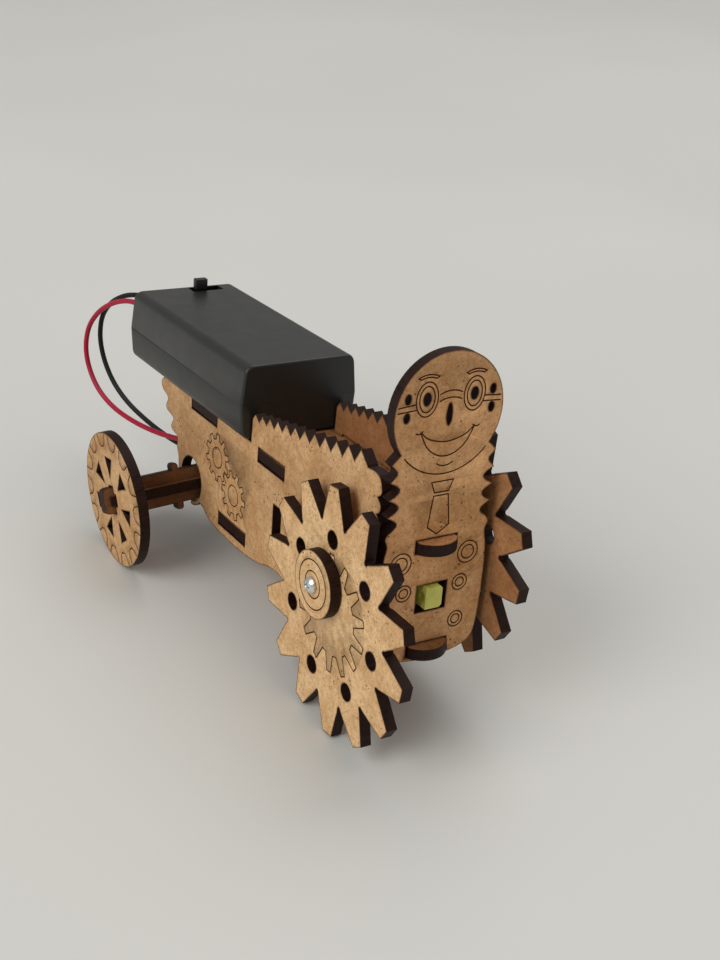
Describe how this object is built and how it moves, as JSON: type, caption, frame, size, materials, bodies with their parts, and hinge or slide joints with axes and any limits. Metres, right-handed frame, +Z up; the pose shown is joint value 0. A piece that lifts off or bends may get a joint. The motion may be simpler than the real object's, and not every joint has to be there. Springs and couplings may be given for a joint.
{
  "type": "four wheel robot chassis",
  "caption": "Small robot chassis of laser-cut sheets with offset toothed front wheels on a gearmotor, plain rear wheels on a crossed-strip axle, and a battery box on top.",
  "frame": {"origin": "centre of the footprint on the floor", "axes": "+Z up, +Y towards the battery box end, the front faces -Y, X along the rear axle"},
  "size_m": [0.0774, 0.1843, 0.0961],
  "materials": {
    "fibreboard": "laser-cut fibreboard with burnt dark edges",
    "black_plastic": "satin moulded plastic",
    "yellow_green_plastic": "glossy moulded plastic",
    "white_plastic": "nylon",
    "clear_plastic": "clear",
    "zinc_steel": "bright zinc plate",
    "brass": "plain",
    "magnet": "dark ferrite",
    "cell_wrap": "printed film wrap",
    "red_pvc": "flexible wire jacket",
    "black_pvc": "flexible wire jacket"
  },
  "bodies": {
    "chassis": {"side_plate_right": "fibreboard", "side_plate_left": "fibreboard", "front_plate": "fibreboard", "deck_plate": "fibreboard", "bottom_plate": "fibreboard", "battery_box_tray": "black_plastic", "battery_box_cover": "black_plastic", "switch_body": "black_plastic", "gearbox_shell_right": "yellow_green_plastic", "gearbox_shell_left": "yellow_green_plastic", "motor_end_cap": "white_plastic", "motor_strap": "clear_plastic", "gearbox_screw_1": "zinc_steel", "gearbox_screw_2": "zinc_steel", "gearbox_screw_3": "zinc_steel", "gearbox_screw_4": "zinc_steel", "cover_screw": "zinc_steel", "gear_pin_second": "zinc_steel", "gear_pin_crown": "zinc_steel", "motor_can": "zinc_steel", "contact_link_plate": "zinc_steel", "contact_plate_right": "zinc_steel", "contact_plate_left": "zinc_steel", "contact_spring_front": "zinc_steel", "contact_spring_rear": "zinc_steel", "motor_terminal_upper": "brass", "motor_terminal_lower": "brass", "motor_magnet_upper": "magnet", "motor_magnet_lower": "magnet", "battery_cell_right": "cell_wrap", "battery_cell_left": "cell_wrap", "lead_red": "red_pvc", "lead_black": "black_pvc"},
    "front_axle": {"output_shaft": "white_plastic", "front_wheel_right": "fibreboard", "front_wheel_left": "fibreboard", "hub_disc_right": "fibreboard", "hub_disc_left": "fibreboard", "hub_screw_right": "zinc_steel", "hub_screw_left": "zinc_steel"},
    "second_gear_set": {"second_gear": "white_plastic"},
    "crown_gear_set": {"crown_gear": "white_plastic"},
    "motor_spindle": {"motor_rotor": "zinc_steel", "motor_pinion": "brass"},
    "rear_axle": {"rear_axle_upright_strip": "fibreboard", "rear_axle_level_strip": "fibreboard", "rear_wheel_right": "fibreboard", "rear_wheel_left": "fibreboard"},
    "switch_knob": {"switch_slider": "black_plastic"}
  },
  "joints": [
    {"name": "front_axle_spin", "type": "hinge", "parent": "chassis", "child": "front_axle", "pos_m": [0.00204, -0.04354, 0.03588], "axis": [0.9979, -0.0069, -0.0642], "continuous": true},
    {"name": "second_gear_spin", "type": "hinge", "parent": "chassis", "child": "second_gear_set", "pos_m": [0.00216, -0.03231, 0.03653], "axis": [0.9979, -0.0069, -0.0642], "continuous": true},
    {"name": "crown_gear_spin", "type": "hinge", "parent": "chassis", "child": "crown_gear_set", "pos_m": [0.00204, -0.0249, 0.03387], "axis": [0.9979, -0.0069, -0.0642], "continuous": true},
    {"name": "motor_spin", "type": "hinge", "parent": "chassis", "child": "motor_spindle", "pos_m": [0.00204, -0.0594, 0.03759], "axis": [0, 0.9942, -0.1072], "continuous": true},
    {"name": "rear_axle_spin", "type": "hinge", "parent": "chassis", "child": "rear_axle", "pos_m": [0.0015, 0.03784, 0.01873], "axis": [1, 0, 0], "continuous": true},
    {"name": "switch_slide", "type": "slide", "parent": "chassis", "child": "switch_knob", "axis": [0.9979, -0.0069, -0.0642], "range_m": [0, 0.0046]}
  ],
  "couplings": [
    {"joint": "second_gear_spin", "follows": "front_axle_spin", "ratio": -4},
    {"joint": "crown_gear_spin", "follows": "front_axle_spin", "ratio": 16},
    {"joint": "motor_spin", "follows": "front_axle_spin", "ratio": 48}
  ]
}
